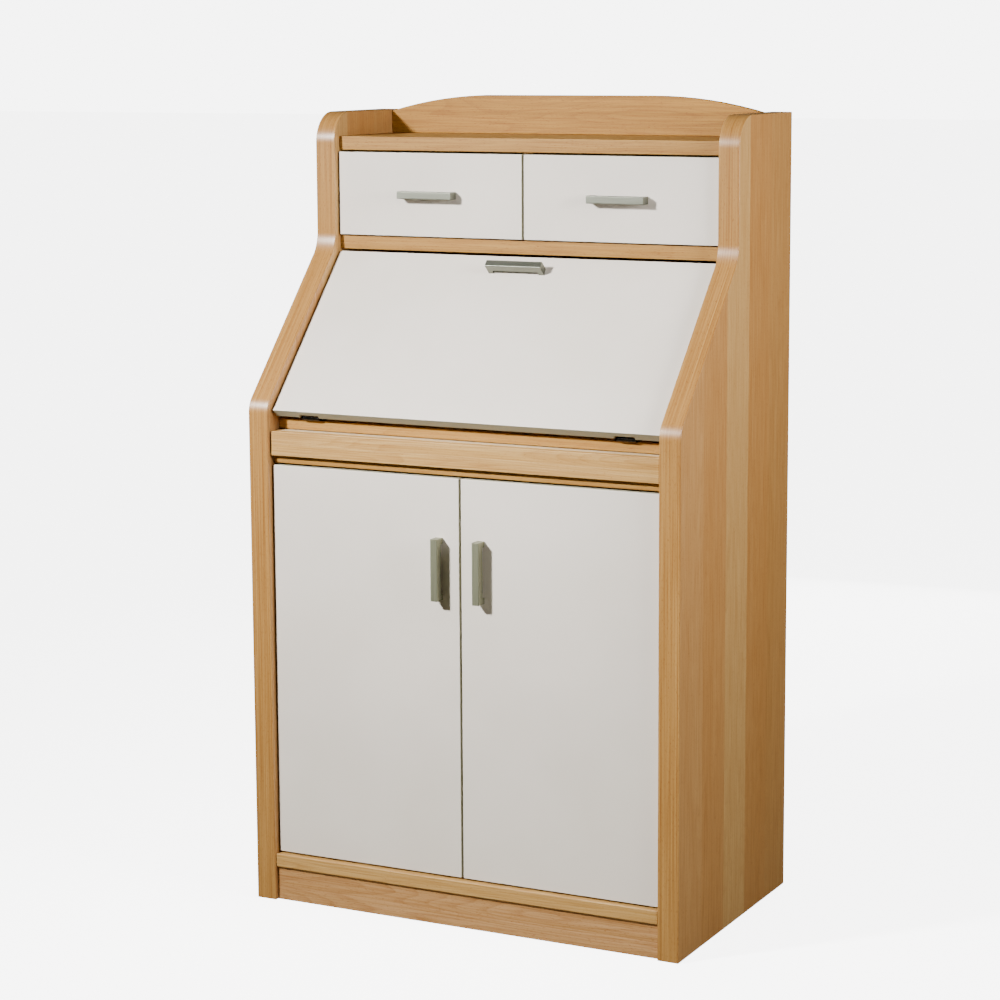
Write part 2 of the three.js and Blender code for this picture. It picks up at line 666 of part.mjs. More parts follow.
// ---------------------------------------------------------------- the desk
function secretaryDesk() {
  const hinges = flapHinges();
  const desk = new THREE.Group();
  desk.add(sidePanel(-1), sidePanel(1), galleryBack(), ...carcassBoards());
  desk.add(...adjustableShelf(), ...hingeArms(), ...supportBattens(), ...drawerRunners());
  desk.add(groupAt([0, hingeAxisY, hingeAxisZ], hinges.fixed), flapStops());
  desk.add(dropFlap(hinges.moving), ...flapSupport());
  desk.add(door(-1), door(1), drawer(-1), drawer(1));
  desk.position.y = handleOverhang / 2;
  return desk;
}

export default secretaryDesk();
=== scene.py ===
import json
import math

import bmesh
import bpy
from mathutils import Matrix, Vector

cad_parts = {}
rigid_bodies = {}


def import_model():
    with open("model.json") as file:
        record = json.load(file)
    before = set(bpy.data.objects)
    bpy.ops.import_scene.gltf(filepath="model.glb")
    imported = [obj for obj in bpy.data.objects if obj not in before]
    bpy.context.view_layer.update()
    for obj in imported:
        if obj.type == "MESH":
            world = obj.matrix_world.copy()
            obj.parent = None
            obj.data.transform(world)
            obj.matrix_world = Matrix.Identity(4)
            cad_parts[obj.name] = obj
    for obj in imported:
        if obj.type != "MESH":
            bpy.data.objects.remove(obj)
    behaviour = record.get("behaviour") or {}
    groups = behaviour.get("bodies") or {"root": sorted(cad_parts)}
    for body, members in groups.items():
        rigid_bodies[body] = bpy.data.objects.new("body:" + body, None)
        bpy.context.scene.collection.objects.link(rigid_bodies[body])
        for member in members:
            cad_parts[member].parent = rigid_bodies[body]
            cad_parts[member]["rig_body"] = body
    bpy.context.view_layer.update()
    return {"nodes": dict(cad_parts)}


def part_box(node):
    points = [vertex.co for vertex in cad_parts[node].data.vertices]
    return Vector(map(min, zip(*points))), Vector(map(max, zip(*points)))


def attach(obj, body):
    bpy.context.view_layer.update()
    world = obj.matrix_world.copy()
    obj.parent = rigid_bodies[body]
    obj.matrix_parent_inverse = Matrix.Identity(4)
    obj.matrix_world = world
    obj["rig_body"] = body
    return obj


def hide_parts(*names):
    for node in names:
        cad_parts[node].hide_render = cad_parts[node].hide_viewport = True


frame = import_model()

# Secretary desk in beech decor and cream foil: two doors, a pull-out support, a drop flap,
# two small drawers and an arched gallery. Metres; X right, Y back, Z up.

print("frame loaded:", len(frame["nodes"]), "parts")


# camera, light and floor

view = {
    "place": (1.9062, -3.8226, 1.3748),
    "yaw": 26.918,
    "pitch": 8.828,
    "roll": -0.311,
    "lens": 97.79,
    "sensor": 36,
    "rise": -0.04,  # small vertical shift that keeps the uprights nearly parallel
}


def setCamera():
    data = bpy.data.cameras.new("deskCamera")
    data.sensor_width = view["sensor"]
    data.lens = view["lens"]
    data.shift_y = view["rise"]
    camera = bpy.data.objects.new("deskCamera", data)
    bpy.context.scene.collection.objects.link(camera)
    yaw, pitch, roll = (math.radians(view[key]) for key in ("yaw", "pitch", "roll"))
    ahead = Vector((-math.sin(yaw) * math.cos(pitch), math.cos(yaw) * math.cos(pitch), -math.sin(pitch)))
    level = Vector((math.cos(yaw), math.sin(yaw), 0))
    upward = level.cross(ahead)
    right = math.cos(roll) * level + math.sin(roll) * upward
    above = math.cos(roll) * upward - math.sin(roll) * level
    turn = Matrix((right, above, -ahead)).transposed().to_4x4()
    camera.matrix_world = Matrix.Translation(view["place"]) @ turn
    bpy.context.scene.camera = camera


lamps = {
    # a softbox left of the desk, in front of it and above it: it throws the handle shadows
    "keyBox": {
        "place": (-1.22, -2.04, 2.04), "aim": (0.14, -0.15, 0.66), "size": 0.22, "power": 37, "spread": 80,
    },
    # a reflector on the right lights the outer side, most of all near its top
    "fillBox": {
        "place": (1.9, -0.42, 1.4), "aim": (0.37, -0.05, 1.15), "size": 0.7, "power": 27, "spread": 130,
    },
    # a wide panel behind the desk, below its top; nothing seen from the front takes light from it
    "backBox": {
        "place": (-0.35, 2.7, 0.62), "aim": (-0.1, 0.2, 0.62), "size": 1.15, "power": 30, "spread": 120,
    },
}
surround = {
    "stops": [(0.50, "#d2ccb0"), (0.60, "#cfc9b0"), (0.85, "#8f8a78")],  # from the horizon up
    "strength": 0.16,
    "backdrop": 6.5,  # how bright the white paper behind the desk looks; it lights nothing
}


def linear(hexText):
    # an sRGB hex value as linear red, green, blue and alpha
    parts = [int(hexText[start:start + 2], 16) / 255 for start in (1, 3, 5)]
    return [p / 12.92 if p <= 0.04045 else ((p + 0.055) / 1.055) ** 2.4 for p in parts] + [1.0]


def setLight():
    for name, lamp in lamps.items():
        data = bpy.data.lights.new(name, "AREA")
        data.energy = lamp["power"]
        data.size = lamp["size"]
        data.spread = math.radians(lamp["spread"])
        box = bpy.data.objects.new(name, data)
        bpy.context.scene.collection.objects.link(box)
        box.location = lamp["place"]
        toward = Vector(lamp["aim"]) - Vector(lamp["place"])
        box.rotation_euler = toward.to_track_quat("-Z", "Y").to_euler()
    world = bpy.data.worlds.new("paleRoom")
    world.use_nodes = True
    tree = world.node_tree
    tree.nodes.clear()
    way = addNode(tree, "ShaderNodeTexCoord")
    upward = addNode(tree, "ShaderNodeSeparateXYZ", {}, {0: way.outputs["Generated"]})
    share = addNode(tree, "ShaderNodeMapRange", {"From Min": -1.0}, {"Value": upward.outputs["Z"]})
    sky = addNode(tree, "ShaderNodeValToRGB", {"stops": surround["stops"]}, {"Fac": share.outputs["Result"]})
    room = addNode(tree, "ShaderNodeBackground", {"Strength": surround["strength"]},
                   {"Color": sky.outputs["Color"]})
    backdrop = addNode(tree, "ShaderNodeBackground",
                       {"Color": linear("#ffffff"), "Strength": surround["backdrop"]})
    path = addNode(tree, "ShaderNodeLightPath")
    seen = addNode(tree, "ShaderNodeMixShader", {},
                   {0: path.outputs["Is Camera Ray"], 1: room.outputs["Background"],
                    2: backdrop.outputs["Background"]})
    addNode(tree, "ShaderNodeOutputWorld", {}, {"Surface": seen.outputs["Shader"]})
    bpy.context.scene.world = world


# materials

def addNode(tree, kind, settings=None, links=None):
    # settings are inputs, properties or a ramp's stops; links join inputs to other nodes' outputs
    node = tree.nodes.new(kind)
    for name, value in (settings or {}).items():
        if name == "stops":
            ramp = node.color_ramp
            ramp.elements[0].position = value[0][0]
            ramp.elements[1].position = value[-1][0]
            for stop in value[1:-1]:
                ramp.elements.new(stop[0])
            for element, stop in zip(ramp.elements, value):
                element.color = linear(stop[1])
        elif isinstance(name, int) or name in node.inputs:
            node.inputs[name].default_value = value
        else:
            setattr(node, name, value)
    for name, source in (links or {}).items():
        tree.links.new(source, node.inputs[name])
    return node


def newMaterial(name):
    material = bpy.data.materials.new(name)
    material.use_nodes = True
    material.node_tree.nodes.clear()
    return material, material.node_tree


def perMetre(sizes):
    # pattern sizes in millimetres along X, Y and Z become a mapping scale
    return [1000 / size for size in sizes]


# Beech decor: a printed foil on chipboard, sealed matt-satin. It gives long, straight, low-contrast
# streaks a few millimetres wide, short dark flecks, and a soft sheen along the bends.
beechLooks = {
    "beechSideDecor": {  # the faces of the side panels, grain upright
        "along": 2, "streak": 11, "light": "#bf965e", "dark": "#a67439",
        "staves": ["#bc8d58", "#b5834c", "#c29b62", "#ae7c44", "#ac7e47"],  # from front to back
        "figure": 0.16, "roughness": 0.40, "gloss": 0.45,
    },
    "beechBoardDecor": {  # shelves and writing board, grain lengthwise
        "along": 0, "streak": 7, "light": "#b58b48", "dark": "#9f712c",
        "staves": None, "figure": 0.22, "roughness": 0.48, "gloss": 0.30,
    },
    "beechGalleryDecor": {  # the gallery's back, a browner sheet
        "along": 0, "streak": 9, "light": "#b78636", "dark": "#996a1f",
        "staves": None, "figure": 0.32, "roughness": 0.50, "gloss": 0.25,
    },
    "beechRailDecor": {  # pull-out rail and bottom shelf, a paler sheet with clear stripes
        "along": 0, "streak": 6, "light": "#c9a569", "dark": "#b58a48",
        "staves": None, "figure": 0.35, "roughness": 0.48, "gloss": 0.30,
    },
    "beechPlinthDecor": {  # the plinth, a pinker sheet
        "along": 0, "streak": 9, "light": "#cca171", "dark": "#ae814c",
        "staves": None, "figure": 0.45, "roughness": 0.42, "gloss": 0.40,
    },
}
# What every sheet of the print shares. A pair is the width across and the length along the grain, in
# millimetres. Flecks are really 0.4 mm wide; they are drawn 0.9 mm wide so that they show.
beechPrint = {
    "sway": 2.2, "swayReach": 0.006,  # slow bends of the grain: how many to a metre, how far in metres
    "streakLength": 900,
    "staveMix": 0.72,
    "hill": (70, 620), "rings": 26.0,  # the cathedral figure's hills, and the rings up each one
    "fine": (1.6, 90), "fineMix": 0.75,
    "fleck": (0.9, 5.5), "fleckMix": 0.6,
    "worn": 0.07, "buffed": 0.05,  # how much duller and shinier the fine grain makes it
    "pore": 0.25, "poreDepth": 0.00015,
}


def beechDecor(name):
    look = beechLooks[name]
    material, tree = newMaterial(name)
    along = look["along"]

    def grainSizes(width, length):
        return perMetre([length if axis == along else width for axis in range(3)])

    place = addNode(tree, "ShaderNodeTexCoord").outputs["Object"]
    sway = addNode(tree, "ShaderNodeTexNoise", {"Scale": beechPrint["sway"], "Detail": 2.0},
                   {"Vector": place})
    bent = addNode(tree, "ShaderNodeVectorMath", {"operation": "SCALE", "Scale": beechPrint["swayReach"]},
                   {0: sway.outputs["Color"]})
    swayed = addNode(tree, "ShaderNodeVectorMath", {"operation": "ADD"},
                     {0: place, 1: bent.outputs["Vector"]}).outputs["Vector"]
    streakPlace = addNode(tree, "ShaderNodeMapping",
                          {"Scale": grainSizes(look["streak"], beechPrint["streakLength"])},
                          {"Vector": swayed})
    streaks = addNode(tree, "ShaderNodeTexNoise", {"Scale": 1.0, "Detail": 5.0, "Roughness": 0.62},
                      {"Vector": streakPlace.outputs["Vector"]})
    tone = addNode(tree, "ShaderNodeValToRGB",
                   {"stops": [(0.30, look["dark"]), (0.70, look["light"])]},
                   {"Fac": streaks.outputs["Fac"]})
    colour = tone.outputs["Color"]
    if look["staves"]:
        # the print shows glued staves, each in its own tone
        low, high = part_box("left_side_panel")
        depthwise = addNode(tree, "ShaderNodeSeparateXYZ", {}, {0: place})
        share = addNode(tree, "ShaderNodeMapRange", {"From Min": low.y, "From Max": high.y},
                        {"Value": depthwise.outputs["Y"]})
        stops = [(index / len(look["staves"]), tint) for index, tint in enumerate(look["staves"])]
        staves = addNode(tree, "ShaderNodeValToRGB", {"stops": stops}, {"Fac": share.outputs["Result"]})
        staves.color_ramp.interpolation = "CONSTANT"
        mixed = addNode(tree, "ShaderNodeMix", {"data_type": "RGBA", 0: beechPrint["staveMix"]},
                        {6: colour, 7: staves.outputs["Color"]})
        colour = mixed.outputs[2]
    # cathedral figure: contour lines of a slow, stretched noise
    figurePlace = addNode(tree, "ShaderNodeMapping", {"Scale": grainSizes(*beechPrint["hill"])},
                          {"Vector": place})
    hills = addNode(tree, "ShaderNodeTexNoise", {"Scale": 1.0, "Detail": 1.5, "Roughness": 0.4},
                    {"Vector": figurePlace.outputs["Vector"]})
    rings = addNode(tree, "ShaderNodeMath", {"operation": "MULTIPLY", 1: beechPrint["rings"]},
                    {0: hills.outputs["Fac"]})
    saw = addNode(tree, "ShaderNodeMath", {"operation": "FRACT"}, {0: rings.outputs["Value"]})
    line = addNode(tree, "ShaderNodeValToRGB",
                   {"stops": [(0.0, "#ffffff"), (0.55, "#f4ece2"), (0.92, "#cfb79b"), (1.0, "#ffffff")]},
                   {"Fac": saw.outputs["Value"]})
    figured = addNode(tree, "ShaderNodeMix",
                      {"data_type": "RGBA", "blend_type": "MULTIPLY", 0: look["figure"]},
                      {6: colour, 7: line.outputs["Color"]})
    # fine grain and flecks
    finePlace = addNode(tree, "ShaderNodeMapping", {"Scale": grainSizes(*beechPrint["fine"])},
                        {"Vector": swayed})
    fine = addNode(tree, "ShaderNodeTexNoise", {"Scale": 1.0, "Detail": 3.0, "Roughness": 0.55},
                   {"Vector": finePlace.outputs["Vector"]})
    fineTone = addNode(tree, "ShaderNodeValToRGB", {"stops": [(0.32, "#dcc8ae"), (0.60, "#ffffff")]},
                       {"Fac": fine.outputs["Fac"]})
    grained = addNode(tree, "ShaderNodeMix",
                      {"data_type": "RGBA", "blend_type": "MULTIPLY", 0: beechPrint["fineMix"]},
                      {6: figured.outputs[2], 7: fineTone.outputs["Color"]})
    fleckPlace = addNode(tree, "ShaderNodeMapping", {"Scale": grainSizes(*beechPrint["fleck"])},
                         {"Vector": place})
    fleck = addNode(tree, "ShaderNodeTexNoise", {"Scale": 1.0, "Detail": 1.0},
                    {"Vector": fleckPlace.outputs["Vector"]})
    fleckTone = addNode(tree, "ShaderNodeValToRGB", {"stops": [(0.62, "#ffffff"), (0.74, "#b58f66")]},
                        {"Fac": fleck.outputs["Fac"]})
    flecked = addNode(tree, "ShaderNodeMix",
                      {"data_type": "RGBA", "blend_type": "MULTIPLY", 0: beechPrint["fleckMix"]},
                      {6: grained.outputs[2], 7: fleckTone.outputs["Color"]})
    sheen = addNode(tree, "ShaderNodeMapRange",
                    {"To Min": look["roughness"] + beechPrint["worn"],
                     "To Max": look["roughness"] - beechPrint["buffed"]},
                    {"Value": fine.outputs["Fac"]})
    pores = addNode(tree, "ShaderNodeBump",
                    {"Strength": beechPrint["pore"], "Distance": beechPrint["poreDepth"]},
                    {"Height": fine.outputs["Fac"]})
    shader = addNode(tree, "ShaderNodeBsdfPrincipled", {"IOR": 1.5, "Specular IOR Level": look["gloss"]},
                     {"Base Color": flecked.outputs[2], "Roughness": sheen.outputs["Result"],
                      "Normal": pores.outputs["Normal"]})
    addNode(tree, "ShaderNodeOutputMaterial", {}, {"Surface": shader.outputs["BSDF"]})
    return material


# Beech edge band: the same print on a 1 mm band glued round the panels' narrow faces. Fine streaks
# follow the edge round the bends, and the buffed band is a little glossier than the faces.
edgeBandLook = {
    "light": "#b4884b", "dark": "#885722", "roughness": 0.30,
    "streak": (2.2, 700, 260), "fleck": (0.9, 6, 6), "fleckMix": 0.6,  # sizes along X, Y and Z in millimetres
}


def beechEdgeBand():
    material, tree = newMaterial("beechEdgeBand")
    place = addNode(tree, "ShaderNodeTexCoord").outputs["Object"]
    streakPlace = addNode(tree, "ShaderNodeMapping", {"Scale": perMetre(edgeBandLook["streak"])},
                          {"Vector": place})
    streaks = addNode(tree, "ShaderNodeTexNoise", {"Scale": 1.0, "Detail": 5.0, "Roughness": 0.65},
                      {"Vector": streakPlace.outputs["Vector"]})
    tone = addNode(tree, "ShaderNodeValToRGB",
                   {"stops": [(0.30, edgeBandLook["dark"]), (0.68, edgeBandLook["light"])]},
                   {"Fac": streaks.outputs["Fac"]})
    fleckPlace = addNode(tree, "ShaderNodeMapping", {"Scale": perMetre(edgeBandLook["fleck"])},
                         {"Vector": place})
    fleck = addNode(tree, "ShaderNodeTexNoise", {"Scale": 1.0, "Detail": 1.0},
                    {"Vector": fleckPlace.outputs["Vector"]})
    fleckTone = addNode(tree, "ShaderNodeValToRGB", {"stops": [(0.60, "#ffffff"), (0.74, "#b58f66")]},
                        {"Fac": fleck.outputs["Fac"]})
    flecked = addNode(tree, "ShaderNodeMix",
                      {"data_type": "RGBA", "blend_type": "MULTIPLY", 0: edgeBandLook["fleckMix"]},
                      {6: tone.outputs["Color"], 7: fleckTone.outputs["Color"]})
    shader = addNode(tree, "ShaderNodeBsdfPrincipled", {"IOR": 1.5, "Roughness": edgeBandLook["roughness"]},
                     {"Base Color": flecked.outputs[2]})
    addNode(tree, "ShaderNodeOutputMaterial", {}, {"Surface": shader.outputs["BSDF"]})
    return material


# Cream foil on fibreboard: pressed, matt-satin, warm off-white. It reads as a flat, even face with
# a faint press texture. The texture is really about 0.5 mm and is drawn at 1.8 mm so that it shows.
foilLook = {
    "pale": "#e4dbd0", "deep": "#ded5c9", "cloud": 5.0,  # slow shifts of tone, to a metre
    "roughness": 0.46, "sheen": 0.04,  # how far the texture moves the roughness each way
    "texture": 1.8, "relief": 0.10, "reliefDepth": 0.0001,
}


def creamFoil():
    material, tree = newMaterial("creamFoilOnFibreboard")
    place = addNode(tree, "ShaderNodeTexCoord").outputs["Object"]
    cloud = addNode(tree, "ShaderNodeTexNoise", {"Scale": foilLook["cloud"], "Detail": 3.0},
                    {"Vector": place})
    tone = addNode(tree, "ShaderNodeValToRGB",
                   {"stops": [(0.35, foilLook["deep"]), (0.65, foilLook["pale"])]},
                   {"Fac": cloud.outputs["Fac"]})
    pressPlace = addNode(tree, "ShaderNodeMapping", {"Scale": perMetre([foilLook["texture"]] * 3)},
                         {"Vector": place})
    press = addNode(tree, "ShaderNodeTexNoise", {"Scale": 1.0, "Detail": 2.0},
                    {"Vector": pressPlace.outputs["Vector"]})
    sheen = addNode(tree, "ShaderNodeMapRange",
                    {"To Min": foilLook["roughness"] - foilLook["sheen"],
                     "To Max": foilLook["roughness"] + foilLook["sheen"]},
                    {"Value": press.outputs["Fac"]})
    relief = addNode(tree, "ShaderNodeBump",
                     {"Strength": foilLook["relief"], "Distance": foilLook["reliefDepth"]},
                     {"Height": press.outputs["Fac"]})
    shader = addNode(tree, "ShaderNodeBsdfPrincipled", {"IOR": 1.5},
                     {"Base Color": tone.outputs["Color"], "Roughness": sheen.outputs["Result"],
                      "Normal": relief.outputs["Normal"]})
    addNode(tree, "ShaderNodeOutputMaterial", {}, {"Surface": shader.outputs["BSDF"]})
    return material


# Edge band of the fronts: a plastic band, glued on and scraped flush, so it is matt and faintly pitted.
# Its greige tone, darker than the foil, is painted shade: the shade that falls in the gaps between the
# fronts.
frontBandLook = {
    # pale and deep make the band darker than the foil: painted shade for the gaps between the fronts
    "pale": "#aeab95", "deep": "#a5a28b", "roughness": 0.52,
    "pit": 1.2, "relief": 0.15, "reliefDepth": 0.0001,
}


def frontEdgeBand():
    material, tree = newMaterial("plasticBandWithPaintedShade")
    place = addNode(tree, "ShaderNodeTexCoord").outputs["Object"]
    pitPlace = addNode(tree, "ShaderNodeMapping", {"Scale": perMetre([frontBandLook["pit"]] * 3)},
                       {"Vector": place})
    pits = addNode(tree, "ShaderNodeTexNoise", {"Scale": 1.0, "Detail": 2.0},
                   {"Vector": pitPlace.outputs["Vector"]})
    tone = addNode(tree, "ShaderNodeValToRGB",
                   {"stops": [(0.35, frontBandLook["deep"]), (0.65, frontBandLook["pale"])]},
                   {"Fac": pits.outputs["Fac"]})
    relief = addNode(tree, "ShaderNodeBump",
                     {"Strength": frontBandLook["relief"], "Distance": frontBandLook["reliefDepth"]},
                     {"Height": pits.outputs["Fac"]})
    shader = addNode(tree, "ShaderNodeBsdfPrincipled", {"IOR": 1.5, "Roughness": frontBandLook["roughness"]},
                     {"Base Color": tone.outputs["Color"], "Normal": relief.outputs["Normal"]})
    addNode(tree, "ShaderNodeOutputMaterial", {}, {"Surface": shader.outputs["BSDF"]})
    return material


# Metals. Satin nickel: zinc die-cast, brushed lengthwise and plated, a warm green-grey with a soft
# stretched shine. Black nickel: stamped and plated hinge steel, dark with small glints. Bright zinc:
# plated pressings, screws and nails, pale with a cloudy bloom. Brush lines are about 0.1 mm and
# are drawn 0.5 mm wide so that they show. Sizes are along X, Y and Z in millimetres.
metalLooks = {
    # both satin nickel copies are one metal; their different tones are painted light, each toned to match how
    # its own handles catch the light
    "satinNickelAcross": {"hollow": "#6d6f63", "high": "#84867a", "roughness": 0.44, "sizes": (60, 0.5, 0.5)},
    "satinNickelUpright": {
        "hollow": "#7f806b", "high": "#979880", "roughness": 0.52, "sizes": (0.5, 0.5, 60),
    },
    "blackNickelSteel": {"hollow": "#1b1a19", "high": "#3c3a38", "roughness": 0.26, "sizes": (9, 0.8, 0.8)},
    "brightZincSteel": {"hollow": "#a9adb1", "high": "#c8cbce", "roughness": 0.30, "sizes": (3, 3, 3)},
}
plating = {"buffed": 0.06, "worn": 0.08, "relief": 0.18, "reliefDepth": 0.00005}


def platedMetal(name):
    look = metalLooks[name]
    material, tree = newMaterial(name)
    place = addNode(tree, "ShaderNodeTexCoord").outputs["Object"]
    brushPlace = addNode(tree, "ShaderNodeMapping", {"Scale": perMetre(look["sizes"])}, {"Vector": place})
    brush = addNode(tree, "ShaderNodeTexNoise", {"Scale": 1.0, "Detail": 3.0},
                    {"Vector": brushPlace.outputs["Vector"]})
    tone = addNode(tree, "ShaderNodeValToRGB", {"stops": [(0.3, look["hollow"]), (0.7, look["high"])]},
                   {"Fac": brush.outputs["Fac"]})
    sheen = addNode(tree, "ShaderNodeMapRange",
                    {"To Min": look["roughness"] - plating["buffed"],
                     "To Max": look["roughness"] + plating["worn"]},
                    {"Value": brush.outputs["Fac"]})
    relief = addNode(tree, "ShaderNodeBump",
                     {"Strength": plating["relief"], "Distance": plating["reliefDepth"]},
                     {"Height": brush.outputs["Fac"]})
    shader = addNode(tree, "ShaderNodeBsdfPrincipled", {"Metallic": 1.0},
                     {"Base Color": tone.outputs["Color"], "Roughness": sheen.outputs["Result"],
                      "Normal": relief.outputs["Normal"]})
    addNode(tree, "ShaderNodeOutputMaterial", {}, {"Surface": shader.outputs["BSDF"]})
    return material


# Plain boards. Hardboard: wet-pressed wood fibre, brown and matt, with a felted mottle of about
# 2 mm. Birch drawer sides: planed and thinly lacquered, pale with a faint straight grain.
plainLooks = {
    "pressedHardboard": {"hollow": "#8a6440", "high": "#a9825a", "roughness": 0.72, "sizes": (2.4, 2.4, 2.4)},
    "lacqueredBirch": {"hollow": "#cdb58c", "high": "#dfcba6", "roughness": 0.50, "sizes": (3.0, 120, 3.0)},
    "birchLengthwise": {"hollow": "#cdb58c", "high": "#dfcba6", "roughness": 0.50, "sizes": (160, 3.0, 3.0)},
}
fibreRelief = {"Strength": 0.3, "Distance": 0.0002}


def plainBoard(name):
    look = plainLooks[name]
    material, tree = newMaterial(name)
    place = addNode(tree, "ShaderNodeTexCoord").outputs["Object"]
    fibrePlace = addNode(tree, "ShaderNodeMapping", {"Scale": perMetre(look["sizes"])}, {"Vector": place})
    fibre = addNode(tree, "ShaderNodeTexNoise", {"Scale": 1.0, "Detail": 5.0, "Roughness": 0.6},
                    {"Vector": fibrePlace.outputs["Vector"]})
    tone = addNode(tree, "ShaderNodeValToRGB", {"stops": [(0.32, look["hollow"]), (0.68, look["high"])]},
                   {"Fac": fibre.outputs["Fac"]})
    relief = addNode(tree, "ShaderNodeBump", fibreRelief, {"Height": fibre.outputs["Fac"]})
    shader = addNode(tree, "ShaderNodeBsdfPrincipled", {"IOR": 1.5, "Roughness": look["roughness"]},
                     {"Base Color": tone.outputs["Color"], "Normal": relief.outputs["Normal"]})
    addNode(tree, "ShaderNodeOutputMaterial", {}, {"Surface": shader.outputs["BSDF"]})
    return material


# Studio paper: matt and pale, with a faint unevenness. It looks bright, and throws back a dimmer,
# warmer light.
floorLook = {
    "pale": "#f6f6f5", "deep": "#f0f0ef", "cloud": 1.5, "half": 40.0, "glow": 5.8, "bounce": "#74705a",
}


def makeFloor():
    material, tree = newMaterial("studioPaper")
    place = addNode(tree, "ShaderNodeTexCoord").outputs["Object"]
    cloud = addNode(tree, "ShaderNodeTexNoise", {"Scale": floorLook["cloud"]}, {"Vector": place})
    tone = addNode(tree, "ShaderNodeValToRGB",
                   {"stops": [(0.3, floorLook["deep"]), (0.7, floorLook["pale"])]},
                   {"Fac": cloud.outputs["Fac"]})
    paper = addNode(tree, "ShaderNodeBsdfDiffuse", {}, {"Color": tone.outputs["Color"]})
    glow = addNode(tree, "ShaderNodeEmission", {"Strength": floorLook["glow"]})
    seen = addNode(tree, "ShaderNodeAddShader", {}, {0: paper.outputs["BSDF"], 1: glow.outputs["Emission"]})
    bounce = addNode(tree, "ShaderNodeBsdfDiffuse", {"Color": linear(floorLook["bounce"])})
    path = addNode(tree, "ShaderNodeLightPath")
    either = addNode(tree, "ShaderNodeMixShader", {},
                     {0: path.outputs["Is Camera Ray"], 1: bounce.outputs["BSDF"], 2: seen.outputs["Shader"]})
    addNode(tree, "ShaderNodeOutputMaterial", {}, {"Surface": either.outputs["Shader"]})
    shape = bmesh.new()
    bmesh.ops.create_grid(shape, x_segments=1, y_segments=1, size=floorLook["half"])
    mesh = bpy.data.meshes.new("studioFloor")
    shape.to_mesh(mesh)
    shape.free()
    mesh.materials.append(material)
    floor = bpy.data.objects.new("studioFloor", mesh)
    bpy.context.scene.collection.objects.link(floor)


setCamera()
setLight()
makeFloor()
sideDecor = beechDecor("beechSideDecor")
boardDecor = beechDecor("beechBoardDecor")
galleryDecor = beechDecor("beechGalleryDecor")
railDecor = beechDecor("beechRailDecor")
plinthDecor = beechDecor("beechPlinthDecor")
edgeBand = beechEdgeBand()
foil = creamFoil()
frontBand = frontEdgeBand()
nickelAcross = platedMetal("satinNickelAcross")
nickelUpright = platedMetal("satinNickelUpright")
blackNickel = platedMetal("blackNickelSteel")
zinc = platedMetal("brightZincSteel")
hardboard = plainBoard("pressedHardboard")
birch = plainBoard("lacqueredBirch")
birchLong = plainBoard("birchLengthwise")
print("camera, light and materials ready")


# making pieces

making = {
    "crisp": 40,  # edges sharper than this many degrees keep their crease
    "sharp": 50,  # and those sharper than this get an eased arris
    "merge": 0.00001,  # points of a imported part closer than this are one
    "flat": 1,  # its triangles that meet within this many degrees are one face
}


def bodyOf(node):
    return frame["nodes"][node]["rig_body"]


def finishPiece(shape, name, body, materials, nodes=(), pick=None):
    # pick gives each face the number of its material
    for face in shape.faces:
        face.smooth = True
        face.material_index = pick(face) if pick else 0
    for edge in shape.edges:
        edge.smooth = len(edge.link_faces) == 2 and edge.calc_face_angle() < math.radians(making["crisp"])
    mesh = bpy.data.meshes.new(name)
    shape.to_mesh(mesh)
    shape.free()
    for material in materials:
        mesh.materials.append(material)
    piece = bpy.data.objects.new(name, mesh)
    bpy.context.scene.collection.objects.link(piece)
    even = piece.modifiers.new("evenNormals", "WEIGHTED_NORMAL")
    even.keep_sharp = True
    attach(piece, body)
    if nodes:
        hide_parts(*nodes)
    return piece


def easeEdges(shape, radius, steps):
    least = math.radians(making["sharp"])
    sharp = [edge for edge in shape.edges if len(edge.link_faces) == 2 and edge.calc_face_angle() > least]
    bmesh.ops.bevel(shape, geom=sharp, offset=radius, offset_type="OFFSET", segments=steps,
                    profile=0.5, affect="EDGES", clamp_overlap=True, material=-1)


def easedCopy(node, radius, steps, name, materials, pick=None):
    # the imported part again, merged, with its arrises eased
    shape = bmesh.new()
    shape.from_mesh(frame["nodes"][node].data)
    bmesh.ops.remove_doubles(shape, verts=shape.verts, dist=making["merge"])
    bmesh.ops.dissolve_limit(shape, angle_limit=math.radians(making["flat"]), verts=shape.verts,
                             edges=shape.edges, use_dissolve_boundaries=False, delimit=set())
    easeEdges(shape, radius, steps)
    return finishPiece(shape, name, bodyOf(node), materials, [node], pick)


# side panels

sidePanels = {
    "upperDepth": 0.2193,  # depth of the upright part above the slope
    "slopeFoot": 0.8066,
    "slopeHead": 1.04327,
    "bends": (0.035, 0.050, 0.050),  # radii at the slope's foot, its head and the top
    "bendSteps": 20,
    "arris": (0.0011, 3),  # radius and steps
}


